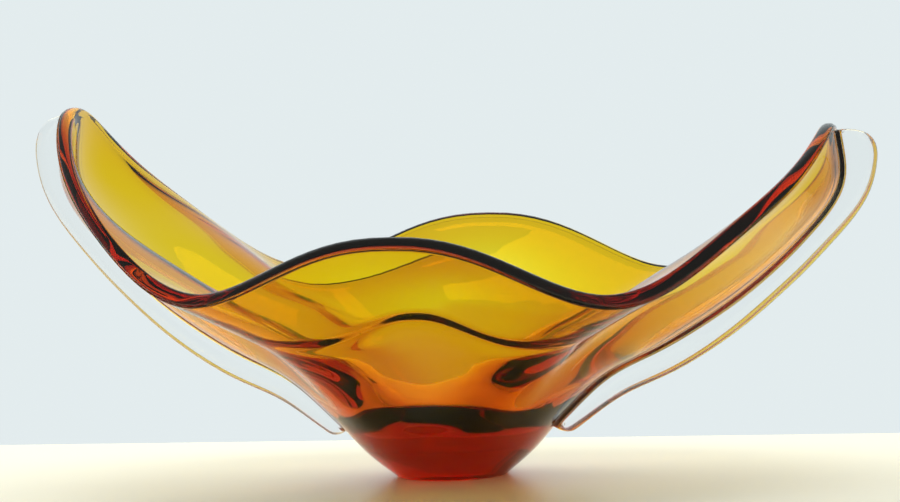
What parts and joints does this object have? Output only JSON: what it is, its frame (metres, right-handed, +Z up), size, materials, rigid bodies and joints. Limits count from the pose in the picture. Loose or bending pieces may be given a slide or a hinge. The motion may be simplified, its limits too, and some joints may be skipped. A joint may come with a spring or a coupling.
{
  "type": "art glass bowl",
  "caption": "Wide cased glass bowl, amber inside clear crystal, with two raised wings, low petals between them and a clear fin along the keel of each wing.",
  "frame": {"origin": "centre of the ground foot, on the plane the bowl rests on", "axes": "+Z up; +X along the two raised wings, towards the lower wing tip; +Y to the back"},
  "size_m": [0.456, 0.2415, 0.2006],
  "materials": {
    "amber_glass": "fire-polished transparent amber, deep red where it is thick",
    "clear_crystal": "fire-polished clear crystal, ground flat under the foot",
    "fin_crystal": "fire-polished clear crystal, tooled at the root"
  },
  "bodies": {
    "root": {"amber_bowl": "amber_glass", "crystal_casing": "clear_crystal", "left_fin": "fin_crystal", "right_fin": "fin_crystal"}
  },
  "joints": []
}
